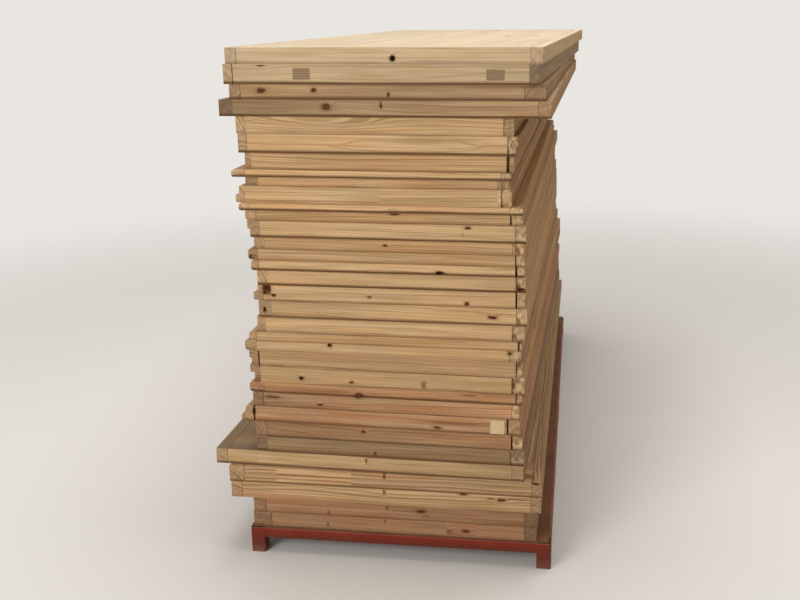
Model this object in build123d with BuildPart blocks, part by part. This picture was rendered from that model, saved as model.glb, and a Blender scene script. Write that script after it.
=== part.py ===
"""A stack of glued-up pine sheets, lying loose on a low welded steel skid.

Millimetres. X runs across the stack, Y from its front to its back, Z up.
The origin is on the floor, in the middle of the skid.
"""

from build123d import *
from math import cos, radians, sin
from typing import NamedTuple
import os

# The skid is as long as the sheets
sheet_length = 2000.0
skid_width = 840.0
skid_length = sheet_length
skid_height = 75.0
leg_side = 40.0
bar_width = leg_side
bar_height = 30.0
tube_wall = 2.5
tube_corner = 4.0
cross_bar_count = 3
deck_thickness = 5.0
deck_inset = 6.0

# What all sheets share
arris = 1.2
eased_edge = 2.0
joint_line = 2.0
open_joint_depth = 22.0
tenon_depth = 1.2


class Sheet(NamedTuple):
    """One sheet of the stack, placed by its front edge."""

    thickness: float
    width: float
    left: float  # from the skid's left side to the sheet's left end, along the front
    front: float  # from the skid's front face back to the sheet's front edge
    turn: float  # degrees clockwise, seen from above
    stiles: tuple  # widths of the left and right stile
    nose: float = eased_edge  # radius along both long edges
    step: tuple = (0.0, 0.0)  # how far each long edge lies in over its upper half, or if negative its lower
    set_back: tuple = (0.0, 0.0)  # how far the left and right stile ends lie back
    open_joint: tuple = (0.0, 0.0)  # gap beside the left and right stile end


# The sheets as they lie, from the skid up
sheets = [
    Sheet(42, 792, 9, 4, 0.3, (52, 34)),
    Sheet(46, 792, 12, 1, 0.3, (36, 37)),
    Sheet(48, 860, -48, -4, 0.2, (32, 27)),
    Sheet(46, 864, -50, -8, 0.4, (43, 27)),
    Sheet(44, 855, -90, -1, 1.5, (33, 31)),
    Sheet(44, 737, 28, -4, 1.4, (32, 36), set_back=(6, 4)),
    Sheet(46, 732, 28, 2, 1.5, (32, 28), set_back=(0, 5), open_joint=(0, 4)),
    Sheet(44, 763, -7, -10, 1.7, (37, 34), nose=9, step=(12, 0), open_joint=(5, 5)),
    Sheet(41, 726, 27, -4, 1.6, (30, 20), nose=7),
    Sheet(29, 742, 20, -10, 1.6, (44, 18), nose=10, set_back=(4, 0), open_joint=(0, 3)),
    Sheet(45, 744, 20, -7, 1.5, (32, 32), step=(-12, 0), set_back=(14, 8), open_joint=(4, 0)),
    Sheet(45, 735, 24, -6, 1.3, (27, 16), step=(-6, 0), set_back=(3, 4), open_joint=(5, 2)),
    Sheet(28, 742, 14, -9, 1.2, (34, 30), nose=8, set_back=(5, 3)),
    Sheet(24, 730, 27, -5, 1.1, (21, 8), nose=8, open_joint=(0, 5)),
    Sheet(44, 712, 51, -3, 1.0, (24, 31), set_back=(4, 3)),
    Sheet(46, 709, 61, -11, 0.8, (35, 27), set_back=(3, 2)),
    Sheet(43, 718, 47, -5, 0.9, (27, 23), nose=4, step=(12, 0), open_joint=(0, 5)),
    Sheet(42, 704, 62, -12, 0.8, (32, 25), set_back=(2, 5)),
    Sheet(26, 714, 50, -19, 0.7, (21, 22), nose=6, open_joint=(0, 6)),
    Sheet(29, 724, 40, -12, 0.7, (28, 24), nose=9, set_back=(4, 0), open_joint=(0, 3)),
    Sheet(32, 703, 57, -6, 0.8, (29, 28), set_back=(2, 2)),
    Sheet(44, 723, 43, -15, 0.9, (33, 26), step=(-7, 0), set_back=(4, 3), open_joint=(2, 0)),
    Sheet(27, 720, 38, -8, 0.7, (30, 31), nose=8, open_joint=(0, 4)),
    Sheet(19, 734, 25, -16, 0.6, (29, 33), nose=7),
    Sheet(44, 714, 15, -10, 0.8, (26, 26), nose=5, step=(10, 0), set_back=(4, 6)),
    Sheet(24, 686, 42, -6, 0.9, (35, 34), set_back=(4, 0)),
    Sheet(19, 718, 10, -16, 0.8, (36, 24), nose=6),
    Sheet(43, 690, 44, -9, 0.8, (19, 15), set_back=(8, 6), open_joint=(0, 7)),
    Sheet(48, 714, 31, -16, 1.0, (24, 26), step=(0, -7), set_back=(5, 3), open_joint=(3, 0)),
    Sheet(44, 708, 26, -10, 1.0, (27, 25), set_back=(5, 3)),
    Sheet(42, 840, -15, -13, 1.4, (36, 32), set_back=(2, 0)),
    Sheet(38, 800, 12, -6, 1.6, (30, 53)),
    Sheet(50, 797, 0, -16, 2.5, (25, 25), open_joint=(2, 0)),
    Sheet(41, 800, 4, -10, 2.7, (31, 29)),
]


class Spot(NamedTuple):
    """A place on a sheet's front edge: its middle, from the left end and from below."""

    sheet: int
    along: float
    up: float
    width: float
    height: float
    depth: float


# End-grain ends of cross tenons, let in a little below the edge
tenon_ends = [
    Spot(33, 205, 26, 44, 28, tenon_depth),
    Spot(33, 690, 25, 44, 26, tenon_depth),
    Spot(8, 702, 22, 38, 38, tenon_depth),
]

# Square places where a chip has split off, from the upper face down on 13 and 17
chips = [
    Spot(20, 15, 8, 22, 11, 10),
    Spot(17, 38, 30, 21, 28, 12),
    Spot(13, 236, 25, 10, 7, 8),
    Spot(8, 37, 30, 8, 16, 9),
]

# Round holes that loose knots have left
knot_holes = [
    Spot(34, 432, 14, 15, 16, 16),
    Spot(19, 498, 6, 22, 10, 12),
    Spot(18, 692, 8, 20, 9, 12),
    Spot(16, 16, 21, 7, 13, 8),
    Spot(11, 147, 17, 11, 9, 8),
]


def front_edge_planes(sheet, bottom):
    """The plane of a sheet's underside and of its front edge, both from the edge's middle."""
    angle = radians(sheet.turn)
    across = (cos(angle), -sin(angle), 0)
    towards_viewer = (-sin(angle), -cos(angle), 0)
    middle = (
        sheet.left + sheet.width / 2 - skid_width / 2,
        sheet.front - skid_length / 2,
        bottom,
    )
    underside = Plane(origin=middle, x_dir=across, z_dir=(0, 0, 1))
    edge = Plane(origin=middle, x_dir=across, z_dir=towards_viewer)
    return underside, edge


def front_outline(sheet):
    """Sketches a leaf's front edge: its full height, and a lip of half of it where a side is stepped."""
    half = sheet.width / 2
    left_step, right_step = [abs(step) for step in sheet.step]
    with Locations(((left_step - right_step) / 2, 0)):
        full_width = sheet.width - left_step - right_step
        lower_middle = (Align.CENTER, Align.MIN)
        RectangleRounded(full_width, sheet.thickness, sheet.nose, align=lower_middle)
    for side, step in zip((-1, 1), sheet.step):
        if step != 0:
            lip_middle = sheet.thickness * (1 / 4 if step > 0 else 3 / 4)
            lip_reach = 2 * (abs(step) + sheet.nose)
            with Locations((side * (half - lip_reach / 2), lip_middle)):
                RectangleRounded(lip_reach, sheet.thickness / 2, sheet.nose)


def build_sheet(number, sheet, bottom):
    """A flat leaf: two side stiles with the boards between them glued into one solid."""
    underside, edge = front_edge_planes(sheet, bottom)
    half = sheet.width / 2
    left_stile, right_stile = sheet.stiles
    joints = (left_stile - half, half - right_stile)

    with BuildPart() as leaf:
        with BuildSketch(edge):
            front_outline(sheet)
        extrude(amount=-sheet_length)
        along_grain = leaf.faces().sort_by(Axis(edge.origin, edge.z_dir))
        chamfer(along_grain[0].edges() + along_grain[-1].edges(), arris)

        # Glue lines beside the stiles, at both ends of the leaf
        with BuildSketch(underside):
            with Locations(*[(joint, end) for joint in joints for end in (0, sheet_length)]):
                Rectangle(joint_line, joint_line, rotation=45)
        extrude(amount=sheet.thickness, mode=Mode.SUBTRACT)

        # The same glue lines, along the upper face
        with BuildSketch(edge):
            with Locations(*[(joint, sheet.thickness) for joint in joints]):
                Rectangle(joint_line, joint_line, rotation=45)
        extrude(amount=-sheet_length, mode=Mode.SUBTRACT)

        # Stile ends that lie back from the front edge, and joints that have opened
        ends = zip((-half, half), sheet.stiles, joints, sheet.set_back, sheet.open_joint)
        for outer, stile, joint, back, gap in ends:
            if back > 0:
                with BuildSketch(underside):
                    with Locations((outer, 0)):
                        Rectangle(2 * stile, 2 * back)
                extrude(amount=sheet.thickness, mode=Mode.SUBTRACT)
            if gap > 0:
                with BuildSketch(underside):
                    with Locations((joint, 0)):
                        Rectangle(gap, 2 * open_joint_depth)
                extrude(amount=sheet.thickness, mode=Mode.SUBTRACT)

        for spot in tenon_ends + chips:
            if spot.sheet == number:
                with BuildSketch(edge):
                    with Locations((spot.along - half, spot.up)):
                        Rectangle(spot.width, spot.height)
                extrude(amount=-spot.depth, mode=Mode.SUBTRACT)

        for spot in knot_holes:
            if spot.sheet == number:
                with BuildSketch(edge):
                    with Locations((spot.along - half, spot.up)):
                        Ellipse(spot.width / 2, spot.height / 2)
                extrude(amount=-spot.depth, mode=Mode.SUBTRACT)
    return leaf.part


def tube(plane, width, height, length):
    """A rectangular steel tube that starts on the plane and runs along its normal."""
    with BuildPart() as piece:
        with BuildSketch(plane):
            RectangleRounded(width, height, tube_corner)
            Rectangle(width - 2 * tube_wall, height - 2 * tube_wall, mode=Mode.SUBTRACT)
        extrude(amount=length)
    return piece.part


def finish(part, name):
    """Label one piece and write it to its own file."""
    part.label = name
    export_step(part, f"parts/{name}.step")


os.makedirs("parts", exist_ok=True)

# Legs: a tall one under each corner, a short one under the middle of each side bar
leg_x = (skid_width - leg_side) / 2
leg_y = (skid_length - leg_side) / 2
for side, x in (("left", -leg_x), ("right", leg_x)):
    for end, y in (("front", -leg_y), ("back", leg_y)):
        corner = Plane(origin=(x, y, 0))
        finish(tube(corner, leg_side, leg_side, skid_height), f"leg_{end}_{side}")
    middle = Plane(origin=(x, 0, 0))
    middle_leg_height = skid_height - bar_height
    finish(tube(middle, leg_side, leg_side, middle_leg_height), f"leg_middle_{side}")

# Bars: all of them lie flat, with their tops level with the tops of the legs
bar_z = skid_height - bar_height / 2
bar_x = (skid_width - bar_width) / 2
bar_y = (skid_length - bar_width) / 2
end_bar_length = skid_width - 2 * leg_side
side_bar_length = skid_length - 2 * leg_side
cross_bar_length = skid_width - 2 * bar_width

for name, y in (("bar_front", -bar_y), ("bar_back", bar_y)):
    start = Plane(origin=(-end_bar_length / 2, y, bar_z), x_dir=(0, 1, 0), z_dir=(1, 0, 0))
    finish(tube(start, bar_width, bar_height, end_bar_length), name)

for name, x in (("bar_left", -bar_x), ("bar_right", bar_x)):
    start = Plane(origin=(x, -side_bar_length / 2, bar_z), x_dir=(1, 0, 0), z_dir=(0, 1, 0))
    finish(tube(start, bar_width, bar_height, side_bar_length), name)

cross_bar_pitch = skid_length / (cross_bar_count + 1)
for number in range(1, cross_bar_count + 1):
    y = number * cross_bar_pitch - skid_length / 2
    start = Plane(origin=(-cross_bar_length / 2, y, bar_z), x_dir=(0, 1, 0), z_dir=(1, 0, 0))
    finish(tube(start, bar_width, bar_height, cross_bar_length), f"cross_bar_{number}")

# The board that the sheets lie on
with BuildPart() as deck_board:
    with BuildSketch(Plane.XY.offset(skid_height)):
        Rectangle(skid_width - 2 * deck_inset, skid_length - 2 * deck_inset)
    extrude(amount=deck_thickness)
finish(deck_board.part, "deck_board")

# The sheets, each lying flat on the one below
level = skid_height + deck_thickness
for number, sheet in enumerate(sheets, start=1):
    finish(build_sheet(number, sheet, level), f"sheet_{number:02d}")
    level += sheet.thickness
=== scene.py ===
from math import atan2, cos, pi, radians, sin
from typing import NamedTuple

import bmesh
import bpy
from mathutils import Matrix, Vector


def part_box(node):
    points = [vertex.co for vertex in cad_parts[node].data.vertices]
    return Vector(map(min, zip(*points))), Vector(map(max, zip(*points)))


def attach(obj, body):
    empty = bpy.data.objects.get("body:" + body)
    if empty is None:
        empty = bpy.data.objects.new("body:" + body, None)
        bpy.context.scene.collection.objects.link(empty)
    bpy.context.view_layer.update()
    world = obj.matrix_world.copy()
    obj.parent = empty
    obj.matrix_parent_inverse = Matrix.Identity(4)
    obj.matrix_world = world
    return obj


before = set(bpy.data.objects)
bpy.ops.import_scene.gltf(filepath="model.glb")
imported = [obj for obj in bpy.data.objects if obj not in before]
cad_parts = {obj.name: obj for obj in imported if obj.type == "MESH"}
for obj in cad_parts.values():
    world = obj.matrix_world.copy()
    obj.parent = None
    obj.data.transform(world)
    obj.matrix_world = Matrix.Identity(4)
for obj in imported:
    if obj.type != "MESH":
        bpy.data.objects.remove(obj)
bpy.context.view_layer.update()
mm = 0.001

# The skid's frame: legs and bars of rectangular steel tube, cut square and welded where they meet.
# It is painted brick red with an alkyd enamel, which forks and sheets have scraped off the edges.


def linear(seen):
    """A colour as it is seen on a screen, in hex, turned to linear light."""
    parts = [int(seen[i : i + 2], 16) / 255 for i in (1, 3, 5)]
    return [p / 12.92 if p <= 0.04045 else ((p + 0.055) / 1.055) ** 2.4 for p in parts] + [1.0]


def add(tree, kind, *feeds, **more):
    """Adds one node. Words in small letters are its settings, and the rest feeds its inputs."""
    made = tree.nodes.new(kind if kind.startswith("Node") else "ShaderNode" + kind)
    for word, value in more.items():
        if word[0].islower():
            setattr(made, word, value)
    inputs = [socket for socket in made.inputs if socket.enabled]
    wired = list(zip(inputs, feeds))
    wired += [(made.inputs[word], feed) for word, feed in more.items() if not word[0].islower()]
    for socket, feed in wired:
        if isinstance(feed, bpy.types.Node):
            feed = next(output for output in feed.outputs if output.enabled)
        if isinstance(feed, bpy.types.NodeSocket):
            tree.links.new(feed, socket)
        elif feed is not None:
            socket.default_value = feed
    return made


def new_material(name):
    """An empty material, and its node tree."""
    made = bpy.data.materials.new(name)
    made.use_nodes = True
    made.node_tree.nodes.clear()
    return made, made.node_tree


def finish_with(piece, material):
    """Gives a piece one material all over."""
    if piece.material_slots:
        piece.material_slots[0].material = material
    else:
        piece.data.materials.append(material)


def enamel(name, paint, faded):
    """Brushed alkyd enamel on steel: half dull, mottled, chipped along the edges, dusty low down."""
    made, tree = new_material(name)
    place = add(tree, "TexCoord").outputs["Object"]

    # Mottling a hand wide, from uneven coats, and brush marks a millimetre or two apart
    cloud = add(tree, "TexNoise", Vector=place, Scale=1 / (60 * mm), Detail=4.0, Roughness=0.6)
    stroke = (1 / (70 * mm), 1 / (70 * mm), 1 / (2 * mm))
    brushed = add(tree, "VectorMath", place, stroke, operation="MULTIPLY")
    marks = add(tree, "TexNoise", Vector=brushed, Scale=1.0, Detail=2.0)
    shade = add(tree, "MapRange", cloud, 0.35, 0.68, 0.0, 1.0)
    coat = add(tree, "Mix", shade, linear(paint), linear(faded), data_type="RGBA")

    # Chips reach 2.5 mm in from an edge, where it meets a noise of 9 mm: bare steel, with rust round it
    rounded = add(tree, "Bevel", 2.5 * mm, samples=6)
    sharp = add(tree, "NewGeometry").outputs["Normal"]
    bend = add(tree, "VectorMath", rounded, sharp, operation="DOT_PRODUCT")
    edge = add(tree, "MapRange", bend, 0.995, 0.90, 0.0, 0.34)
    flakes = add(tree, "TexNoise", Vector=place, Scale=1 / (9 * mm), Detail=5.0, Roughness=0.65)
    worn = add(tree, "Math", flakes, edge, operation="ADD")
    rust = add(tree, "MapRange", worn, 0.70, 0.73, 0.0, 1.0)
    bare = add(tree, "MapRange", worn, 0.78, 0.81, 0.0, 1.0)
    rusty = add(tree, "Mix", rust, coat, linear("#5a3422"), data_type="RGBA")
    chipped = add(tree, "Mix", bare, rusty, linear("#7c7670"), data_type="RGBA")

    # Painted shade: below the middle of the bars the red turns darker brown. Floor dust clings to the lowest
    # 30 mm, and saw dust lies on what faces up
    height = add(tree, "SeparateXYZ", place).outputs["Z"]
    lower_shade = add(tree, "MapRange", height, 54 * mm, 68 * mm, 0.5, 0.0, interpolation_type="SMOOTHSTEP")
    chipped = add(tree, "Mix", lower_shade, chipped, linear("#4a2618"), data_type="RGBA")
    low = add(tree, "MapRange", height, 0.0, 30 * mm, 0.4, 0.0)
    up = add(tree, "SeparateXYZ", sharp).outputs["Z"]
    lying = add(tree, "MapRange", up, 0.6, 0.95, 0.0, 0.5)
    both = add(tree, "Math", low, lying, operation="MAXIMUM")
    dust = add(tree, "Math", both, cloud, operation="MULTIPLY")
    colour = add(tree, "Mix", dust, chipped, linear("#a08c74"), data_type="RGBA")

    rough = add(tree, "MapRange", add(tree, "Math", dust, rust, operation="ADD"), 0.0, 1.0, 0.5, 0.85)
    relief = add(tree, "Math", marks, add(tree, "Math", rust, -1.5, operation="MULTIPLY"), operation="ADD")
    bump = add(tree, "Bump", Strength=0.35, Distance=0.25 * mm, Height=relief)
    sheen = {"IOR": 1.5, "Specular IOR Level": 0.25}
    shader = add(tree, "BsdfPrincipled", **{"Base Color": colour}, **sheen, Roughness=rough, Normal=bump)
    add(tree, "OutputMaterial", shader)
    return made


red_enamel = enamel("red_enamel_on_steel", "#741f0b", "#7e2a14")
skid_bars = ["bar_front", "bar_back", "bar_left", "bar_right", "cross_bar_1", "cross_bar_2", "cross_bar_3"]
corner_legs = ["leg_front_left", "leg_front_right", "leg_back_left", "leg_back_right"]
middle_legs = ["leg_middle_left", "leg_middle_right"]
for name in skid_bars + corner_legs + middle_legs:
    finish_with(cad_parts[name], red_enamel)

# The weld beads: one pass of filler along three sides of each bar's end, and round the short legs'
# tops. A bead is 5 mm wide, half sunk in the corner, with a ripple every 3 mm, under the same paint.
bead_radius = 2.4 * mm
bead_inset = 0.6 * bead_radius
bead_ripple = 3 * mm
bead_sides = 8
bead_waist = 0.8  # of the radius, between two ripples
bead_tail = 0.45  # of the radius, at both ends
tube_corner = 4 * mm


def lay_bead(mesh, start, end):
    """A rippled round bead from start to end, closed at both ends."""
    run = end - start
    along = run.normalized()
    out = along.orthogonal().normalized()
    side = along.cross(out)
    rings = []
    steps = max(4, round(run.length / bead_ripple) * 2)
    for step in range(steps + 1):
        bulge = 1.0 if step % 2 else bead_waist
        radius = bead_radius * (bead_tail if step in (0, steps) else bulge)
        middle = start + run * step / steps
        ring = []
        for corner in range(bead_sides):
            angle = 2 * pi * corner / bead_sides
            ring.append(mesh.verts.new(middle + (out * cos(angle) + side * sin(angle)) * radius))
        rings.append(ring)
    for lower, upper in zip(rings, rings[1:]):
        for corner in range(bead_sides):
            after = (corner + 1) % bead_sides
            mesh.faces.new((lower[corner], lower[after], upper[after], upper[corner]))
    mesh.faces.new(reversed(rings[0]))
    mesh.faces.new(rings[-1])


def mesh_piece(name, mesh, smooth=True):
    """Turns a finished bmesh into a piece of the scene."""
    bmesh.ops.recalc_face_normals(mesh, faces=mesh.faces)
    data = bpy.data.meshes.new(name)
    mesh.to_mesh(data)
    mesh.free()
    for face in data.polygons:
        face.use_smooth = smooth
    piece = bpy.data.objects.new(name, data)
    bpy.context.scene.collection.objects.link(piece)
    return piece


def weld_piece(name, seams):
    """One piece that holds the beads along a list of seams."""
    mesh = bmesh.new()
    for start, end in seams:
        lay_bead(mesh, Vector(start), Vector(end))
    piece = mesh_piece(name, mesh)
    finish_with(piece, red_enamel)
    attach(piece, "root")


for name in skid_bars:
    low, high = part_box(name)
    runs_back = high.y - low.y > high.x - low.x
    seams = []
    for end in (0, 1):
        butt = (low, high)[end].y if runs_back else (low, high)[end].x
        sides = (low.x, high.x) if runs_back else (low.y, high.y)
        inner = (sides[0] + bead_inset, sides[1] - bead_inset)
        corners = [(side, z) for side in inner for z in (low.z + bead_inset, high.z - tube_corner)]
        at = [(side, butt, z) if runs_back else (butt, side, z) for side, z in corners]
        seams += [(at[0], at[1]), (at[2], at[3]), (at[0], at[2])]
    weld_piece("weld_" + name, seams)

for name in middle_legs:
    low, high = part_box(name)
    xs = (low.x + bead_inset, high.x - bead_inset)
    ys = (low.y + bead_inset, high.y - bead_inset)
    seams = [((x, ys[0], high.z), (x, ys[1], high.z)) for x in xs]
    seams += [((xs[0], y, high.z), (xs[1], y, high.z)) for y in ys]
    weld_piece("weld_" + name, seams)

# The deck board: one sheet of hardboard laid loose on the bars. It is wood fibre pressed to a dark,
# smooth, faintly mottled face, and its sawn edge is duller and furry.


def hardboard(name):
    """Pressed wood fibre: brown, with specks of fibre 2 mm long, blotches 90 mm wide and dull sawn edges."""
    made, tree = new_material(name)
    coords = add(tree, "TexCoord")
    place = coords.outputs["Object"]
    up = add(tree, "SeparateXYZ", coords.outputs["Normal"]).outputs["Z"]
    flat = add(tree, "MapRange", add(tree, "Math", up, operation="ABSOLUTE"), 0.5, 0.9, 0.0, 1.0)
    blotch = add(tree, "TexNoise", Vector=place, Scale=1 / (90 * mm), Detail=5.0)
    fibre = add(tree, "TexNoise", Vector=place, Scale=1 / (2 * mm), Detail=2.0)
    mixed = add(tree, "Math", fibre, blotch, operation="MULTIPLY")
    tint = add(tree, "MapRange", mixed, 0.15, 0.38, 0.0, 1.0)
    face = add(tree, "Mix", tint, linear("#593718"), linear("#744c28"), data_type="RGBA")
    edge = add(tree, "Mix", tint, linear("#5e4226"), linear("#735234"), data_type="RGBA")
    colour = add(tree, "Mix", flat, edge, face, data_type="RGBA")
    bump = add(tree, "Bump", Strength=0.3, Distance=0.2 * mm, Height=fibre)
    sheen = {"IOR": 1.5, "Specular IOR Level": 0.3}
    shader = add(tree, "BsdfPrincipled", **{"Base Color": colour}, **sheen, Roughness=0.7, Normal=bump)
    add(tree, "OutputMaterial", shader)
    return made


finish_with(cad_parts["deck_board"], hardboard("pressed_hardboard"))

# The sheets: leaves of planed pine. Two stiles run from front to back along the sides, a rail closes
# each end, and boards lie side by side between them, all glued. The wood is bare, so it is matt, with
# pale early wood, thin brown late wood lines, knots, and darker grain where a piece ends.
rail_width = 112 * mm
usual_board = 92 * mm
groove_depth = 1.414 * mm

# The trunks that the members were sawn from: where the pith lies beside and below a member, how much
# the trunk tapers and wanders, and how far apart two trunks lie in the pattern
pith_aside = 70 * mm
pith_depths = (10 * mm, 90 * mm)
steepest_taper = 0.014
trunk_sway = 26 * mm
trunks_apart = (9.0, 9.0, 9.0)

# Numbers of the members beside the boards, which are 0, 1, 2 and so on, so that each draws its own trunk
front_rail, back_rail, stile_number = 31.0, 44.0, 57.0


def new_group(name, takes, gives):
    """An empty node group with named inputs and outputs, and the nodes that stand for them."""
    tree = bpy.data.node_groups.new(name, "ShaderNodeTree")
    for side, sockets in (("INPUT", takes), ("OUTPUT", gives)):
        for word, kind in sockets.items():
            tree.interface.new_socket(word, in_out=side, socket_type="NodeSocket" + kind)
    return tree, add(tree, "NodeGroupInput").outputs, add(tree, "NodeGroupOutput").inputs


def hand_out(tree, result, made):
    """Links a group's named outputs to the nodes that make them."""
    for word, node in made.items():
        tree.links.new(next(output for output in node.outputs if output.enabled), result[word])
    return tree


def knot_group():
    """One knot or flame: it lifts the growth rings round its middle, and may stain the wood."""
    takes = {"Place": "Vector", "Middle": "Vector", "Reach": "Vector", "Rings": "Float"}
    takes |= {"Dark": "Float", "Rim": "Float", "Lift": "Float", "Stain": "Float", "Line": "Float"}
    tree, given, result = new_group("pine_knot", takes, {"Lift": "Float", "Stain": "Float", "Line": "Float"})
    there = add(tree, "VectorMath", given["Place"], given["Middle"], operation="SUBTRACT")
    there = add(tree, "VectorMath", there, given["Reach"], operation="DIVIDE")
    strewn = add(tree, "VectorMath", given["Middle"], (97.0, 97.0, 97.0), there, operation="MULTIPLY_ADD")
    ragged = add(tree, "TexNoise", Vector=strewn, Scale=0.9, Detail=1.0)
    shifted = add(tree, "VectorMath", ragged.outputs["Color"], (0.5, 0.5, 0.5), operation="SUBTRACT")
    there = add(tree, "VectorMath", shifted, (0.7, 0.7, 0.7), there, operation="MULTIPLY_ADD")
    far = add(tree, "VectorMath", there, operation="LENGTH")
    square = add(tree, "Math", far, far, operation="MULTIPLY")
    bell = add(tree, "Math", add(tree, "Math", square, -0.55, operation="MULTIPLY"), operation="EXPONENT")
    lift = add(tree, "Math", bell, given["Rings"], given["Lift"], operation="MULTIPLY_ADD")
    core = add(tree, "MapRange", far, 0.65, 1.1, 1.0, 0.0, interpolation_type="SMOOTHSTEP")
    halo = add(tree, "MapRange", far, 0.9, 1.9, 0.3, 0.0, interpolation_type="SMOOTHSTEP")
    stain = add(tree, "Math", core, halo, operation="MAXIMUM")
    stain = add(tree, "Math", stain, given["Dark"], operation="MULTIPLY")
    stain = add(tree, "Math", stain, given["Stain"], operation="MAXIMUM")

    # A flame's rim is one growth line, round it and pointed at both ends
    part = add(tree, "SeparateXYZ", there)
    tall = add(tree, "Math", part.outputs["Z"], operation="ABSOLUTE")
    level = add(tree, "Math", part.outputs["X"], part.outputs["X"], tall, operation="MULTIPLY_ADD")
    off = add(tree, "Math", level, 1.0, operation="SUBTRACT")
    off = add(tree, "Math", off, operation="ABSOLUTE")
    line = add(tree, "MapRange", off, 0.0, 0.2, given["Rim"], 0.0, interpolation_type="SMOOTHSTEP")
    line = add(tree, "Math", line, given["Line"], operation="MAXIMUM")
    return hand_out(tree, result, {"Lift": lift, "Stain": stain, "Line": line})


def block_group():
    """A shorter block of other wood, butted into the front rail between two places along it."""
    takes = {"Place": "Vector", "From": "Float", "To": "Float", "Shade": "Float"}
    takes |= {"Number": "Float", "Tone": "Float"}
    tree, given, result = new_group("pine_block", takes, {"Number": "Float", "Tone": "Float"})
    split = add(tree, "SeparateXYZ", given["Place"])
    after = add(tree, "Math", split.outputs["X"], given["From"], operation="GREATER_THAN")
    before = add(tree, "Math", split.outputs["X"], given["To"], operation="LESS_THAN")
    near = add(tree, "Math", split.outputs["Y"], rail_width, operation="LESS_THAN")
    inside = add(tree, "Math", after, before, operation="MULTIPLY")
    inside = add(tree, "Math", inside, near, operation="MULTIPLY")
    number = add(tree, "Math", inside, 7.0, given["Number"], operation="MULTIPLY_ADD")
    tone = add(tree, "Math", inside, given["Shade"], given["Tone"], operation="MULTIPLY_ADD")
    return hand_out(tree, result, {"Number": number, "Tone": tone})


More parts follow.
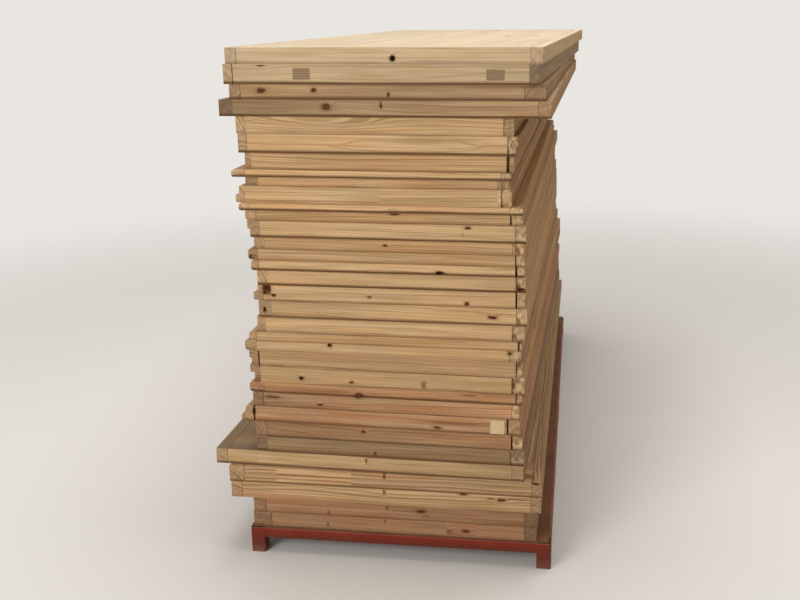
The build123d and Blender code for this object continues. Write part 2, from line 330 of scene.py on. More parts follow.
def wood_group():
    """Planed pine in a leaf's own frame: X along its front edge, Y to its back, Z up, in metres."""
    takes = {"Place": "Vector", "Normal": "Vector", "Size": "Vector", "Seed": "Float", "Ring": "Float"}
    takes |= {"Early": "Color", "Late": "Color", "Heart": "Color", "Heartwood": "Float", "Figure": "Float"}
    takes |= {"Lift": "Float", "Stain": "Float", "Line": "Float", "Number": "Float", "Tone": "Float"}
    takes |= {"Under": "Float", "Dust": "Float", "Left": "Float", "Right": "Float", "Board": "Float"}
    takes |= {"Drift": "Float", "Powder": "Color", "Autumn": "Float", "Torn": "Float", "Side": "Color"}
    gives = {"Color": "Color", "Roughness": "Float", "Normal": "Vector"}
    tree, given, result = new_group("planed_pine", takes, gives)
    place = add(tree, "SeparateXYZ", given["Place"])
    u, v, w = place.outputs
    size = add(tree, "SeparateXYZ", given["Size"])

    # Which member of the leaf this is: a stile, a rail or one of the boards
    from_back = add(tree, "Math", size.outputs["Y"], v, operation="SUBTRACT")
    at_end = add(tree, "Math", v, from_back, operation="MINIMUM")
    left_stile = add(tree, "Math", u, given["Left"], operation="LESS_THAN")
    right_stile = add(tree, "Math", u, given["Right"], operation="GREATER_THAN")
    stile = add(tree, "Math", left_stile, right_stile, operation="MAXIMUM")
    in_rail = add(tree, "Math", at_end, rail_width, operation="LESS_THAN")
    not_stile = add(tree, "Math", 1.0, stile, operation="SUBTRACT")
    rail = add(tree, "Math", in_rail, not_stile, operation="MULTIPLY")
    inner = add(tree, "Math", u, given["Left"], operation="SUBTRACT")
    boards = add(tree, "Math", inner, given["Board"], operation="DIVIDE")
    board = add(tree, "Math", boards, operation="FLOOR")
    halfway = add(tree, "Math", size.outputs["Y"], 0.5, operation="MULTIPLY")
    behind = add(tree, "Math", v, halfway, operation="GREATER_THAN")
    rail_name = add(tree, "Math", behind, back_rail - front_rail, front_rail, operation="MULTIPLY_ADD")
    rail_name = add(tree, "Math", rail_name, given["Number"], operation="ADD")
    plain_name = add(tree, "Math", stile, stile_number, board, operation="MULTIPLY_ADD")
    member = add(tree, "Mix", rail, plain_name, rail_name)
    key = add(tree, "CombineXYZ", member, given["Seed"], 0.0)
    chance = add(tree, "TexWhiteNoise", Vector=key, noise_dimensions="3D")
    luck = add(tree, "SeparateColor", chance.outputs["Color"])
    luck_a, luck_b, luck_c = luck.outputs

    # Grain frame of the member: along the grain, across it, and up
    along = add(tree, "Mix", rail, v, u)
    board_middle = add(tree, "Math", board, 0.5, operation="ADD")
    in_board = add(tree, "Math", boards, board_middle, operation="SUBTRACT")
    in_board = add(tree, "Math", in_board, given["Board"], operation="MULTIPLY")
    across = add(tree, "Mix", rail, in_board, at_end)
    grain = add(tree, "CombineXYZ", along, across, w)
    apart = add(tree, "VectorMath", chance.outputs["Color"], trunks_apart, operation="MULTIPLY")
    strewn = add(tree, "VectorMath", apart, grain, operation="ADD")

    # The trunk wanders by a few millimetres in every half metre
    slow = add(tree, "VectorMath", strewn, (2.6, 11.0, 11.0), operation="MULTIPLY")
    wander = add(tree, "TexNoise", Vector=slow, Scale=1.0, Detail=2.0, Roughness=0.45)
    sway = add(tree, "VectorMath", wander.outputs["Color"], (0.5, 0.5, 0.5), operation="SUBTRACT")
    sway = add(tree, "VectorMath", sway, (0.0, trunk_sway, trunk_sway), operation="MULTIPLY")
    bent = add(tree, "VectorMath", grain, sway, operation="ADD")
    bent = add(tree, "SeparateXYZ", bent)

    # Growth rings: distance from a pith that lies beside or below the member, over the ring width
    pith_side = add(tree, "MapRange", luck_a, 0.0, 1.0, -pith_aside, pith_aside)
    pith_below = add(tree, "MapRange", luck_b, 0.0, 1.0, *pith_depths)
    from_side = add(tree, "Math", bent.outputs["Y"], pith_side, operation="ADD")
    from_below = add(tree, "Math", bent.outputs["Z"], pith_below, operation="ADD")
    radius = add(tree, "VectorMath", add(tree, "CombineXYZ", from_side, from_below, 0.0), operation="LENGTH")
    taper = add(tree, "MapRange", luck_c, 0.0, 1.0, -steepest_taper, steepest_taper)
    cone = add(tree, "Math", along, taper, radius.outputs["Value"], operation="MULTIPLY_ADD")
    years = add(tree, "Math", cone, given["Ring"], operation="DIVIDE")
    years = add(tree, "Math", years, given["Lift"], operation="ADD")
    uneven = add(tree, "TexNoise", W=years, Scale=0.8, Detail=1.0, noise_dimensions="1D")
    years = add(tree, "Math", uneven, 1.8, years, operation="MULTIPLY_ADD")
    season = add(tree, "Math", years, operation="FRACT")
    year = add(tree, "Math", years, operation="FLOOR")
    autumn = add(tree, "MapRange", season, given["Autumn"], 0.88, 0.0, 1.0, interpolation_type="SMOOTHSTEP")
    winter = add(tree, "MapRange", season, 0.90, 1.0, 1.0, 0.0, interpolation_type="SMOOTHSTEP")
    late = add(tree, "Math", autumn, winter, operation="MULTIPLY")
    vigour = add(tree, "TexWhiteNoise", W=year, noise_dimensions="1D")
    vigour = add(tree, "MapRange", vigour, 0.0, 1.0, 0.35, 1.0)
    late = add(tree, "Math", late, vigour, operation="MULTIPLY")
    late = add(tree, "Math", late, given["Line"], operation="MAXIMUM")

    # Fibre: streaks 2 mm wide and 110 mm long, drawn coarser than real fibres so that they show. They
    # are longer in the boards and stiles, which run the leaf's whole length
    draw = add(tree, "CombineXYZ", add(tree, "Mix", rail, 0.4, 1.0), 1.0, 1.0)
    drawn = add(tree, "VectorMath", strewn, draw, operation="MULTIPLY")
    streaks = []
    for length, width, detail, rough in ((110, 2, 3.0, 0.6), (380, 26, 2.0, 0.55), (240, 9, 1.0, 0.5)):
        per = (1 / (length * mm), 1 / (width * mm), 1 / (width * mm))
        scaled = add(tree, "VectorMath", drawn, per, operation="MULTIPLY")
        streaks.append(add(tree, "TexNoise", Vector=scaled, Scale=1.0, Detail=detail, Roughness=rough))
    fibre, patch, streak = streaks

    # Side grain: late wood lines over pale early wood, with drifts of heartwood and of olive sapwood
    ring_share = add(tree, "Math", late, given["Figure"], operation="MULTIPLY")
    fibre_share = add(tree, "MapRange", fibre, 0.3, 0.72, -0.12, 0.22)
    brown = add(tree, "Math", ring_share, fibre_share, operation="ADD", use_clamp=True)
    side_grain = add(tree, "Mix", brown, given["Early"], given["Late"], data_type="RGBA")
    heart = add(tree, "MapRange", patch, 0.42, 0.66, 0.0, 1.0, interpolation_type="SMOOTHSTEP")
    heart = add(tree, "Math", heart, given["Heartwood"], operation="MULTIPLY")
    side_grain = add(tree, "Mix", heart, side_grain, given["Heart"], data_type="RGBA", blend_type="MULTIPLY")
    sap = add(tree, "MapRange", patch, 0.3, 0.48, 0.8, 0.0, interpolation_type="SMOOTHSTEP")
    side_grain = add(tree, "Mix", sap, side_grain, linear("#efead4"), data_type="RGBA", blend_type="MULTIPLY")

    # End grain, where the face lies across the fibres: a little darker and greyer, with soft rings
    facing = add(tree, "SeparateXYZ", given["Normal"])
    facing_x = add(tree, "Math", facing.outputs["X"], operation="ABSOLUTE")
    facing_y = add(tree, "Math", facing.outputs["Y"], operation="ABSOLUTE")
    facing_grain = add(tree, "Mix", rail, facing_y, facing_x)
    end = add(tree, "MapRange", facing_grain, 0.55, 0.8, 0.0, 1.0)
    pores = add(tree, "TexNoise", Vector=given["Place"], Scale=1 / (2.5 * mm), Detail=2.0)
    pore_share = add(tree, "MapRange", pores, 0.3, 0.7, 0.86, 1.06)
    saw = add(tree, "Mix", late, linear("#f0ece8"), linear("#b59c82"), data_type="RGBA")
    end_tint = add(tree, "VectorMath", saw, pore_share, operation="MULTIPLY")
    open_cells = add(tree, "Mix", 0.1, given["Early"], linear("#b8a690"), data_type="RGBA")
    end_grain = add(tree, "Mix", 1.0, open_cells, end_tint, data_type="RGBA", blend_type="MULTIPLY")
    colour = add(tree, "Mix", end, side_grain, end_grain, data_type="RGBA")

    # Painted shade: the long edges that face right are tinted darker and yellower, least on the top leaves
    right_side_shade = add(tree, "MapRange", facing.outputs["X"], 0.5, 0.9, 0.0, 1.0)
    colour = add(tree, "Mix", right_side_shade, colour, given["Side"], data_type="RGBA", blend_type="MULTIPLY")

    # Torn stile ends: pale broken fibres, two centimetres apart, with the hollows between them painted brown
    # as painted shade
    tufts = (1 / (14 * mm), 1 / (25 * mm), 1 / (24 * mm))
    rag = add(tree, "VectorMath", given["Place"], tufts, operation="MULTIPLY")
    rag = add(tree, "TexNoise", Vector=rag, Scale=1.0, Detail=1.0, Roughness=0.5)
    at_torn = add(tree, "Math", right_stile, given["Torn"], operation="MULTIPLY")
    at_torn = add(tree, "Math", at_torn, end, operation="MULTIPLY")
    hollow_shade = add(tree, "MapRange", rag, 0.50, 0.64, 0.0, at_torn)
    broken = add(tree, "MapRange", rag, 0.47, 0.36, 0.0, at_torn)
    colour = add(tree, "Mix", broken, colour, linear("#c8b088"), data_type="RGBA")
    colour = add(tree, "Mix", hollow_shade, colour, linear("#765431"), data_type="RGBA")

    # Each member is a little lighter or darker than the next, and some stiles are a good deal darker
    palest = add(tree, "Mix", rail, 0.86, 0.93)
    own = add(tree, "MapRange", chance.outputs["Value"], 0.0, 1.0, palest, 1.05)
    dull = add(tree, "MapRange", luck_b, 0.4, 1.0, 0.0, -0.12)
    own = add(tree, "Math", dull, stile, own, operation="MULTIPLY_ADD")
    own = add(tree, "Math", own, given["Tone"], operation="ADD")
    share = add(tree, "Math", u, size.outputs["X"], operation="DIVIDE")
    share = add(tree, "Math", share, 0.5, operation="SUBTRACT")
    own = add(tree, "Math", share, given["Drift"], own, operation="MULTIPLY_ADD")
    mottle = add(tree, "MapRange", patch, 0.3, 0.7, 0.93, 1.05)
    own = add(tree, "Math", own, mottle, operation="MULTIPLY")
    dark_streak = add(tree, "MapRange", streak, 0.36, 0.62, 0.92, 1.13)
    own = add(tree, "Math", own, dark_streak, operation="MULTIPLY")
    colour = add(tree, "VectorMath", colour, own, operation="MULTIPLY")

    # Glue lines a millimetre wide, between the boards and beside the rails
    from_joint = add(tree, "Math", boards, 1.0, operation="PINGPONG")
    from_joint = add(tree, "Math", from_joint, given["Board"], operation="MULTIPLY")
    rail_joint = add(tree, "Math", at_end, rail_width, operation="SUBTRACT")
    rail_joint = add(tree, "Math", rail_joint, operation="ABSOLUTE")
    board_seam = add(tree, "Math", from_joint, rail, operation="ADD")
    seam = add(tree, "Math", board_seam, rail_joint, operation="MINIMUM")
    seam = add(tree, "Math", seam, stile, operation="ADD")
    glue = add(tree, "MapRange", seam, 0.4 * mm, 1.3 * mm, 0.7, 0.0)
    colour = add(tree, "Mix", glue, colour, linear("#6b4a2e"), data_type="RGBA")

    # Painted shade along the lower arris, in the gap to the leaf below, over about a centimetre, most on
    # front faces
    smear = add(tree, "MapRange", patch, 0.3, 0.6, 8 * mm, 12 * mm)
    gap_shade = add(tree, "MapRange", w, 3 * mm, smear, given["Under"], 0.0, interpolation_type="SMOOTHSTEP")
    upright = add(tree, "Math", facing.outputs["Z"], operation="ABSOLUTE")
    upright = add(tree, "MapRange", upright, 0.2, 0.9, 1.0, 0.0)
    in_front = add(tree, "MapRange", facing_y, 0.2, 0.9, 0.4, 1.0)
    upright = add(tree, "Math", upright, in_front, operation="MULTIPLY")
    gap_shade = add(tree, "Math", gap_shade, upright, operation="MULTIPLY")
    colour = add(tree, "Mix", gap_shade, colour, linear("#5a3a1c"), data_type="RGBA")

    # Knots are red-brown, with their own rings
    heart_of_knot = add(tree, "Mix", late, linear("#582b06"), linear("#2c1200"), data_type="RGBA")
    colour = add(tree, "Mix", given["Stain"], colour, heart_of_knot, data_type="RGBA")

    # Dust, thickest on what faces up. It is also painted shade on the ledge of the lower leaves and painted
    # light on the top
    dust_and_painted_light = add(tree, "MapRange", facing.outputs["Z"], 0.5, 0.95, 0.25, 1.0)
    dust_and_painted_light = add(tree, "Math", dust_and_painted_light, given["Dust"], operation="MULTIPLY")
    bare = add(tree, "MapRange", given["Stain"], 0.0, 1.0, 1.0, 0.1)
    dust_and_painted_light = add(tree, "Math", dust_and_painted_light, bare, operation="MULTIPLY")
    drift = add(tree, "MapRange", wander, 0.3, 0.7, 0.6, 1.0)
    dust_and_painted_light = add(tree, "Math", dust_and_painted_light, drift, operation="MULTIPLY", use_clamp=True)
    colour = add(tree, "Mix", dust_and_painted_light, colour, given["Powder"], data_type="RGBA")

    rough = add(tree, "MapRange", add(tree, "Math", fibre, late, operation="SUBTRACT"), -0.6, 0.7, 0.52, 0.74)
    relief = add(tree, "Math", late, 0.5, fibre, operation="MULTIPLY_ADD")
    relief = add(tree, "Math", end, pores, relief, operation="MULTIPLY_ADD")
    relief = add(tree, "Math", hollow_shade, -2.0, relief, operation="MULTIPLY_ADD")
    relief = add(tree, "Math", glue, -1.5, relief, operation="MULTIPLY_ADD")
    bump = add(tree, "Bump", Strength=0.35, Distance=0.4 * mm, Height=relief)
    return hand_out(tree, result, {"Color": colour, "Roughness": rough, "Normal": bump})


class Wood(NamedTuple):
    """One cut of pine, as it looks in the stack: its early and late wood, and its heartwood tint."""

    early: str
    late: str
    heart: str
    heartwood: float


class Mark(NamedTuple):
    """A knot, slit or flame on a leaf's front edge, in millimetres from its left end and underside. The ones
    with no rings are painted shade inside a hole or notch of the leaf.
    """

    along: float
    up: float
    width: float
    height: float
    rings: float = 2.0  # years by which it lifts the growth rings round it
    dark: float = 0.85
    back: float = 0.0  # millimetres from the front edge, for a knot on the upper face
    rim: float = 0.0  # strength of the one growth line round a flame


class Look(NamedTuple):
    """How one leaf looks."""

    wood: Wood
    ring: float = 6.0  # millimetres from one growth ring to the next
    figure: float = 0.7  # strength of the late wood lines
    under: float = 0.25  # painted shade along the lower arris
    dust: float = 0.0
    powder: str = "#65523e"  # colour of the dust; the dark default also paints shade on a ledge
    tone: float = 0.0  # added to the brightness, all over
    drift: float = 0.0  # by how much the right end is brighter than the left
    autumn: float = 0.42  # share of a year's ring at which the late wood begins
    torn: float = 0.0  # how splintered the right stile's end is
    side: str = "#f4e4c4"  # painted shade: tint of the long edge on the right
    marks: tuple = ()
    blocks: tuple = ()  # of the front rail: from and to in millimetres, and added brightness


knot = knot_group()
block = block_group()
wood = wood_group()
knot_depth = 60 * mm


def leaf_frame(leaf):
    """A leaf's lower left front corner, its turn clockwise, its three sizes, and its stiles' joints."""
    facing_front = [face for face in leaf.data.polygons if face.normal.y < -0.9]
    front = max(facing_front, key=lambda face: face.area)
    turn = atan2(-front.normal.x, -front.normal.y)
    across = Vector((cos(turn), -sin(turn), 0))
    back = Vector((sin(turn), cos(turn), 0))
    spans = []
    for axis in (across, back, Vector((0, 0, 1))):
        reach = [corner.co.dot(axis) for corner in leaf.data.vertices]
        spans.append((min(reach), max(reach)))
    corner = across * spans[0][0] + back * spans[1][0] + Vector((0, 0, spans[2][0]))
    groove = spans[2][1] - groove_depth
    level = 0.03 * mm
    at_groove = [each.co.dot(across) for each in leaf.data.vertices if abs(each.co.z - groove) < level]
    half = sum(spans[0]) / 2
    joints = [max(at for at in at_groove if at < half), min(at for at in at_groove if at > half)]
    joints = [at - spans[0][0] for at in joints]
    return corner, turn, [high - low for low, high in spans], joints


def feed_group(tree, group, feeds):
    """Links or sets the named inputs of a group node."""
    for word, feed in feeds.items():
        if isinstance(feed, bpy.types.NodeSocket):
            tree.links.new(feed, group.inputs[word])
        else:
            group.inputs[word].default_value = feed


def planed_pine(name, leaf, look, seed):
    """The pine of one leaf, laid out in the leaf's own frame."""
    made, tree = new_material(name)
    corner, turn, size, joints = leaf_frame(leaf)
    inside = joints[1] - joints[0]
    coords = add(tree, "TexCoord")
    place = add(tree, "Mapping", coords.outputs["Object"], corner, (0, 0, -turn), vector_type="TEXTURE")
    facing = add(tree, "Mapping", coords.outputs["Normal"], Rotation=(0, 0, turn), vector_type="NORMAL")
    marked = {"Lift": 0.0, "Stain": 0.0, "Line": 0.0}
    for mark in look.marks:
        depth = knot_depth if mark.back == 0 else mark.height / 2 * mm
        tall = mark.height / 2 * mm if mark.back == 0 else knot_depth
        group = add(tree, "Group", node_tree=knot)
        feeds = {
            "Place": place.outputs[0],
            "Middle": (mark.along * mm, mark.back * mm, mark.up * mm),
            "Reach": (mark.width / 2 * mm, depth, tall),
            "Rings": mark.rings,
            "Dark": mark.dark,
            "Rim": mark.rim,
        }
        feed_group(tree, group, feeds | marked)
        marked = {word: group.outputs[word] for word in marked}
    blocked = {"Number": float(seed), "Tone": look.tone}
    for start, end, shade in look.blocks:
        group = add(tree, "Group", node_tree=block)
        feeds = {"Place": place.outputs[0], "From": start * mm, "To": end * mm, "Shade": shade}
        feed_group(tree, group, feeds | blocked)
        blocked = {word: group.outputs[word] for word in blocked}
    body = add(tree, "Group", node_tree=wood)
    feeds = {
        "Place": place.outputs[0],
        "Normal": facing.outputs[0],
        "Size": size,
        "Seed": float(seed),
        "Ring": look.ring * mm,
        "Early": linear(look.wood.early),
        "Late": linear(look.wood.late),
        "Heart": linear(look.wood.heart),
        "Heartwood": look.wood.heartwood,
        "Figure": look.figure,
        "Under": look.under,
        "Dust": look.dust,
        "Left": joints[0],
        "Right": joints[1],
        "Board": inside / round(inside / usual_board),
        "Drift": look.drift,
        "Powder": linear(look.powder),
        "Autumn": look.autumn,
        "Torn": look.torn,
        "Side": linear(look.side),
    }
    feed_group(tree, body, feeds | marked | blocked)
    painted = {"Base Color": body.outputs["Color"], "Roughness": body.outputs["Roughness"]}
    sheen = {"IOR": 1.5, "Specular IOR Level": 0.2}
    shader = add(tree, "BsdfPrincipled", **painted, **sheen, Normal=body.outputs["Normal"])
    add(tree, "OutputMaterial", shader)
    return made


cream = Wood("#cab08c", "#ab8d66", "#eee0c8", 0.5)
straw = Wood("#cbaa80", "#9a774d", "#eedcc0", 0.5)
honey = Wood("#bf9d74", "#8c6a42", "#ead8be", 0.6)
lined = Wood("#c2a078", "#7c5936", "#e8ccb4", 0.6)
rose = Wood("#b4906c", "#8a5e3e", "#e6c8b0", 0.7)
tan = Wood("#aa8d6a", "#826545", "#e2d2ba", 0.7)
umber = Wood("#a27c5b", "#76543a", "#e4c2aa", 0.7)
drab = Wood("#997d5c", "#75583a", "#e2d2ba", 0.6)
clay = Wood("#a2805e", "#765638", "#e4ceb2", 0.6)
russet = Wood("#b58c64", "#8a5a3a", "#e8cab0", 0.7)

# The lower leaves: five wide ones of reddish or plain pine, and over them two narrower dull brown ones.
# They lie flat and loose on the deck board, and the ledge that the fifth one makes has dust and painted shade
# on it.
looks = {
    1: Look(
        umber,
        tone=0.02,
        drift=-0.06,
        marks=(
            Mark(598, 19, 22, 11, 2, 1),
            Mark(553, 14, 18, 12, 1, 0.5),
            Mark(374, 35, 7, 10, 1, 0.75),
            Mark(213, 14, 7, 12, 1, 0.75),
        ),
        blocks=((0, 52, -0.10), (545, 625, 0.06), (758, 792, -0.16)),
    ),
    2: Look(
        umber,
        under=0.5,
        drift=-0.26,
        marks=(
            Mark(473, 30, 28, 11, 3, 1),
            Mark(487, 17, 26, 12, 1, 0.3),
            Mark(430, 28, 100, 4, 0.5, 0.4),
            Mark(379, 33, 7, 11, 1, 0.75),
            Mark(213, 10, 7, 12, 1, 0.75),
        ),
        blocks=((0, 36, -0.12), (755, 792, -0.12)),
    ),
    3: Look(
        lined,
        ring=12,
        tone=-0.03,
        drift=0.05,
        marks=(
            Mark(753, 33, 26, 11, 2, 1),
            Mark(724, 36, 26, 4, 1, 1),
            Mark(795, 37, 100, 3, 0.3, 0.8),
            Mark(651, 44, 26, 8, 1.5, 0.9),
            Mark(433, 38, 9, 15, 1, 0.8),
        ),
    ),
    4: Look(
        lined,
        ring=12,
        figure=0.9,
        under=0.8,
        tone=-0.12,
        drift=-0.06,
        marks=(Mark(437, 38, 7, 16, 1, 0.8), Mark(848, 41, 20, 7, 1, 1), Mark(650, 1, 26, 6, 1, 0.8)),
        blocks=((135, 345, 0.14),),
    ),
    5: Look(
        straw,
        under=0.9,
        # Dark dust on its ledge, partly painted shade under the leaf above
        dust=0.9,
        tone=-0.06,
        drift=-0.24,
        marks=(Mark(427, 33, 7, 16, 1, 0.8),),
        blocks=((120, 240, 0.04), (240, 425, 0.06)),
    ),
    6: Look(drab, ring=8, under=0.9, dust=0.3, tone=-0.02, torn=0.5, marks=(Mark(335, 13, 8, 16, 1, 0.8),)),
    7: Look(clay, tone=0.12, drift=0.34, torn=0.5, marks=(Mark(303, 28, 14, 10, 2, 1),)),
}

# The narrower leaves of the middle: planed pine, laid loose on each other, with square, rounded or stepped
# long edges. The lowest three are reddish, and most of the stile ends on the right are torn.
looks |= {
    8: Look(
        rose,
        under=0.8,
        tone=0.05,
        # The last mark is painted shade in a hole at the left end
        marks=(Mark(542, 12, 26, 10, 2, 0.9), Mark(590, 28, 150, 14, 1, 0.4), Mark(37, 30, 10, 18, 0, 1)),
    ),
    9: Look(
        rose,
        tone=-0.04,
        drift=0.52,
        torn=0.4,
        marks=(Mark(188, 12, 16, 7, 1, 1), Mark(56, 27, 50, 10, 1, 0.8), Mark(294, 42, 24, 14, 1, 1)),
    ),
    10: Look(
        russet,
        under=1.0,
        tone=0.04,
        drift=-0.26,
        torn=0.4,
        marks=(
            Mark(304, 5, 30, 22, 3, 1),
            Mark(150, 15, 330, 16, 0.6, 0.34),
            Mark(600, 22, 40, 4, 1, 0.7),
        ),
    ),
    11: Look(
        honey,
        tone=-0.03,
        torn=0.9,
        marks=(Mark(285, 12, 14, 8, 1, 1), Mark(480, 14, 14, 26, 2, 0.6), Mark(147, 17, 16, 13)),
    ),
    12: Look(honey, ring=9, tone=-0.10, torn=0.9, marks=(Mark(73, 4, 60, 6, 1, 0.5),)),
    13: Look(straw, tone=-0.03, torn=0.7, marks=(Mark(236, 24, 16, 11), Mark(711, 22, 14, 10))),
    14: Look(honey, tone=0.11, torn=0.9),
    15: Look(straw, under=0.5, tone=-0.01, drift=0.08, torn=0.8),
    16: Look(
        straw,
        under=0.9,
        tone=-0.05,
        drift=0.20,
        torn=0.8,
        # The second mark is painted shade in a hole at the left end
        marks=(Mark(621, 22, 26, 10, 2, 1), Mark(16, 21, 10, 16, 0, 1)),
    ),
    17: Look(
        straw,
        tone=-0.03,
        torn=0.8,
        marks=(
            # Painted shade in the notch at the left end
            Mark(38, 30, 24, 30, 0, 1),
            Mark(55, 14, 14, 10, 1, 1),
            Mark(313, 18, 12, 9),
            Mark(568, 8, 15, 12, 1, 1),
        ),
    ),
    # Its mark is painted shade in a slot near the right end
    18: Look(straw, under=1.0, tone=-0.03, torn=0.9, marks=(Mark(692, 8, 24, 11, 0, 1),)),
    19: Look(straw, under=1.0, tone=-0.07, torn=0.6, marks=(Mark(498, 6, 32, 14, 2, 0.7),)),
    20: Look(honey, tone=-0.02, torn=0.9),
    21: Look(honey, tone=0.07, drift=0.14, torn=0.9, marks=(Mark(348, 17, 14, 7, 1, 1),)),
    22: Look(straw, under=1.0, torn=0.9, marks=(Mark(577, 38, 20, 8, 1, 1), Mark(563, 22, 8, 10, 1, 0.4))),
    23: Look(honey, under=0.3, tone=0.05, torn=0.6, marks=(Mark(394, 24, 26, 7, 1, 1),)),
    24: Look(honey, under=1.0, tone=0.27, torn=0.5, marks=(Mark(405, 6, 30, 9, 2, 0.3),)),
    25: Look(straw, ring=8, tone=0.03, drift=0.14, torn=0.6, blocks=((380, 680, -0.04),)),
    26: Look(honey, tone=-0.02, drift=-0.10, torn=0.5, blocks=((34, 292, 0.14),)),
    27: Look(straw, under=1.0, tone=0.16, drift=-0.16, torn=0.5),
    28: Look(honey, ring=9, under=0.4, tone=0.02, torn=0.5),
    29: Look(
        straw,
        ring=14,
        under=1.0,
        autumn=0.6,
        torn=0.9,
        marks=(Mark(434, 22, 376, 32, 0.6, 0.0, rim=0.8), Mark(709, 24, 16, 14, 2, 0.2)),
        blocks=((624, 688, 0.04),),
    ),
    30: Look(straw, ring=13, figure=0.9, tone=-0.10, marks=(Mark(210, 34, 240, 26, 2, 0.0),)),
}

# The four wide leaves on top, laid loose with a small turn, the last two the palest of the stack. Their
# long edges on the right get the least painted shade, and three knots show on the upper face of the last one.
looks |= {
    31: Look(
        tan,
        side="#fff6e6",
        under=1.0,
        tone=-0.05,
        drift=0.50,
        marks=(Mark(281, 26, 27, 20, 3, 0.95), Mark(420, 30, 8, 18, 1, 1)),
    ),
    32: Look(
        tan,
        side="#fff6e6",
        under=0.8,
        tone=0.15,
        drift=-0.06,
        marks=(Mark(85, 22, 29, 14, 2, 1), Mark(221, 24, 18, 12, 2, 1), Mark(411, 13, 8, 14, 1, 1)),
    ),
    33: Look(
        cream,
        side="#fff6e6",
        figure=0.55,
        under=1.0,
        tone=-0.07,
        marks=(Mark(100, 46, 24, 4, 1, 1),),
        blocks=((772, 797, -0.22),),
    ),
    34: Look(
        cream,
        side="#fff6e6",
        figure=0.55,
        under=0.3,
        # Pale grey dust on the upper face, partly painted light that makes the lit top paler
        dust=0.35,
        powder="#c4c0b2",
        marks=(
            Mark(432, 14, 36, 32, 2.5, 0.0),
            # Painted shade in the hole of the knot
            Mark(432, 14, 15, 14, 0, 1),
            Mark(335, 41, 18, 46, 2, 0.9, 1198),
            Mark(601, 41, 20, 52, 2, 0.9, 949),
            Mark(697, 41, 18, 44, 2, 0.9, 939),
        ),
    ),
}

for number, look in looks.items():
    name = f"sheet_{number:02d}"
    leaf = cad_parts[name]
    finish_with(leaf, planed_pine("planed_pine_" + str(number), leaf, look, seed=number * 3))

# The tenon ends: inner stiles of two leaves run through the front rail, where their sawn ends show as
# squares of end grain in the mortises, just behind the front face. Two are weathered and one is fresh.


def end_grain(name, early, late, ring):
    """Sawn pine across the fibres: growth rings of a wide trunk, and fine open pores."""
    made, tree = new_material(name)
    place = add(tree, "TexCoord").outputs["Object"]
    flat = add(tree, "VectorMath", place, (1.0, 0.0, 1.6), operation="MULTIPLY")
    warp = add(tree, "TexNoise", Vector=flat, Scale=1 / (30 * mm), Detail=2.0)
    height = add(tree, "SeparateXYZ", flat)
    years = add(tree, "Math", height.outputs["Z"], 1 / (ring * mm), operation="MULTIPLY")
    years = add(tree, "Math", warp, 1.6, years, operation="MULTIPLY_ADD")
    season = add(tree, "Math", years, operation="FRACT")
    autumn = add(tree, "MapRange", season, 0.35, 0.9, 0.0, 1.0, interpolation_type="SMOOTHSTEP")
    pores = add(tree, "TexNoise", Vector=place, Scale=1 / (1.6 * mm), Detail=2.0)
    speck = add(tree, "MapRange", pores, 0.3, 0.7, 0.84, 1.08)
    colour = add(tree, "Mix", autumn, linear(early), linear(late), data_type="RGBA")
    colour = add(tree, "VectorMath", colour, speck, operation="MULTIPLY")
    bump = add(tree, "Bump", Strength=0.4, Distance=0.3 * mm, Height=pores)
    shader = add(tree, "BsdfPrincipled", **{"Base Color": colour, "IOR": 1.5}, Roughness=0.75, Normal=bump)
    add(tree, "OutputMaterial", shader)
    return made


class Tenon(NamedTuple):
    """A tenon's end on a leaf's front edge: its middle and its sizes, in millimetres."""

    name: str
    leaf: str
    along: float
    up: float
    width: float
    height: float
    grain: bpy.types.Material


weathered = end_grain("weathered_end_grain", "#967a5a", "#735a40", 9)
fresh = end_grain("fresh_end_grain", "#d6bc92", "#bb9c6e", 6)
tenons = (
    Tenon("tenon_left", "sheet_33", 205, 26, 44, 28, weathered),
    Tenon("tenon_right", "sheet_33", 690, 25, 44, 26, weathered),
    Tenon("tenon_fresh", "sheet_08", 702, 22, 38, 38, fresh),
)
tenon_clearance = 0.4 * mm
tenon_thickness = 1.0 * mm
tenon_floor = 1.2 * mm
tenon_bevel = 0.4 * mm
for tenon in tenons:
    corner, turn = leaf_frame(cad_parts[tenon.leaf])[:2]
    to_world = Matrix.Translation(corner) @ Matrix.Rotation(-turn, 4, "Z")
    middle = (tenon.along * mm, tenon_floor - tenon_thickness / 2, tenon.up * mm)
    sizes = (tenon.width * mm - tenon_clearance, tenon_thickness, tenon.height * mm - tenon_clearance)
    mesh = bmesh.new()
    bmesh.ops.create_cube(mesh, size=1.0)
    bmesh.ops.scale(mesh, vec=sizes, verts=mesh.verts)
    bmesh.ops.bevel(mesh, geom=mesh.edges[:], offset=tenon_bevel, segments=2, affect="EDGES")
    bmesh.ops.translate(mesh, vec=middle, verts=mesh.verts)
    bmesh.ops.transform(mesh, matrix=to_world, verts=mesh.verts)
    piece = mesh_piece(tenon.name, mesh, smooth=False)
    finish_with(piece, tenon.grain)
    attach(piece, "root")

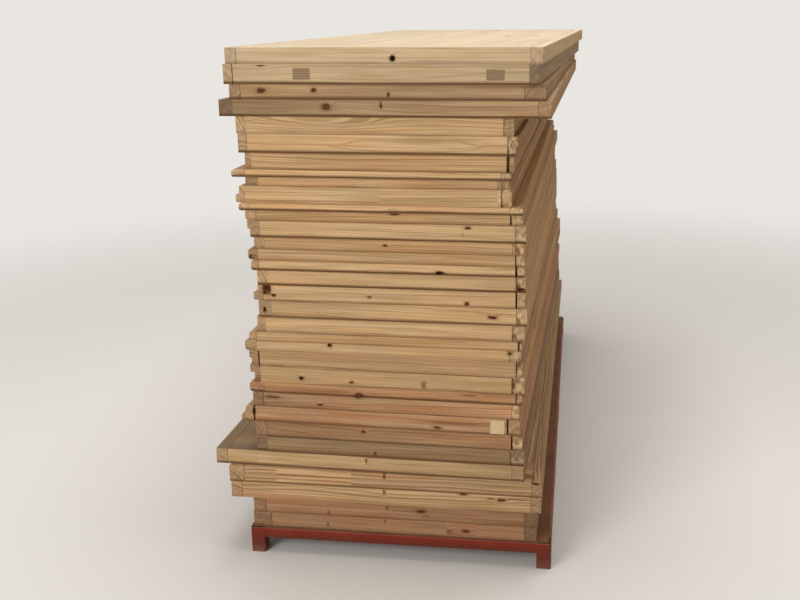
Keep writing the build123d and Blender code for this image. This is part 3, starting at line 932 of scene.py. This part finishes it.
# The floor is plain and pale. Far out it turns into the colour of the backdrop, with no horizon, and
# close to the stack it keeps the shadow.
floor_size = 60.0
mesh = bmesh.new()
bmesh.ops.create_grid(mesh, x_segments=1, y_segments=1, size=floor_size / 2)
floor = mesh_piece("floor", mesh, smooth=False)
floor_paint, tree = new_material("pale_floor")
backdrop = "#e9e6e1"
fade_start, fade_end = 1.2, 4.6
shader = add(tree, "BsdfPrincipled", **{"Base Color": linear("#dedad4"), "Roughness": 0.8})
away = add(tree, "VectorMath", add(tree, "TexCoord").outputs["Object"], operation="LENGTH")
faded = add(tree, "MapRange", away.outputs["Value"], fade_start, fade_end, interpolation_type="SMOOTHSTEP")
seen = add(tree, "LightPath").outputs["Is Camera Ray"]
faded = add(tree, "Math", faded, seen, operation="MULTIPLY")
far = add(tree, "Emission", linear(backdrop), 1.0)
add(tree, "OutputMaterial", add(tree, "MixShader", faded, shader, far))
finish_with(floor, floor_paint)

# Soft studio light: a wide panel overhead, a large one in front on the left, and an even sky round it
# that is dimmer and warmer towards the right, where the photograph's stack stands in shade
lamps = (
    ("overhead", (0.35, 0.0, 4.6), (0.2, 0.0, 1.0), 3.2, 150.0),
    ("front_left", (-3.0, -6.0, 3.0), (0.0, -0.6, 0.7), 3.0, 242.0),
)
for name, spot, aim, side, power in lamps:
    light = bpy.data.lights.new(name, "AREA")
    light.shape = "SQUARE"
    light.size = side
    light.energy = power
    lamp = bpy.data.objects.new(name, light)
    lamp.location = spot
    lamp.rotation_euler = (Vector(aim) - Vector(spot)).to_track_quat("-Z", "Y").to_euler()
    bpy.context.scene.collection.objects.link(lamp)

world = bpy.data.worlds.new("studio")
bpy.context.scene.world = world
world.use_nodes = True
sky = world.node_tree
sky.nodes.clear()
rays = add(sky, "LightPath").outputs
shown = add(sky, "Math", rays["Is Camera Ray"], rays["Is Glossy Ray"], operation="MAXIMUM")
toward = add(sky, "SeparateXYZ", add(sky, "TexCoord").outputs["Generated"])
shaded = add(sky, "MapRange", toward.outputs["X"], -0.1, 0.7, 0.0, 1.0)
tint = add(sky, "Mix", shaded, linear("#f1f2f2"), linear("#e9d8c0"), data_type="RGBA")
strength = add(sky, "MapRange", shaded, 0.0, 1.0, 0.42, 0.31)
even = add(sky, "Background", tint, strength)
seen = add(sky, "Background", linear(backdrop), 1.0)
add(sky, "OutputWorld", add(sky, "MixShader", shown, even, seen))

# The camera stands where the photograph was taken from, right of the stack's middle line and a little
# above its top, and a longer lens with a small shift fills the frame at the same perspective
image_width, image_height = 800, 600
camera_spot = (0.468, -3.371, 1.484)
camera_turn, camera_dip, camera_roll = radians(7.10), radians(13.38), radians(-0.43)
focal_pixels = 583.85
closer = 1.66
stack_middle = (365, 336)
camera_data = bpy.data.cameras.new("camera")
camera_data.sensor_width = 36.0
camera_data.lens = focal_pixels * camera_data.sensor_width / image_width * closer
camera_data.shift_x = (stack_middle[0] - image_width / 2) * closer / image_width
camera_data.shift_y = -(stack_middle[1] - image_height / 2) * closer / image_width
camera = bpy.data.objects.new("camera", camera_data)
camera.location = camera_spot
upright = Matrix.Rotation(camera_turn, 3, "Z") @ Matrix.Rotation(pi / 2 - camera_dip, 3, "X")
camera.rotation_euler = (upright @ Matrix.Rotation(camera_roll, 3, "Z")).to_euler()
bpy.context.scene.collection.objects.link(camera)
bpy.context.scene.camera = camera
bpy.context.scene.view_settings.view_transform = "Standard"
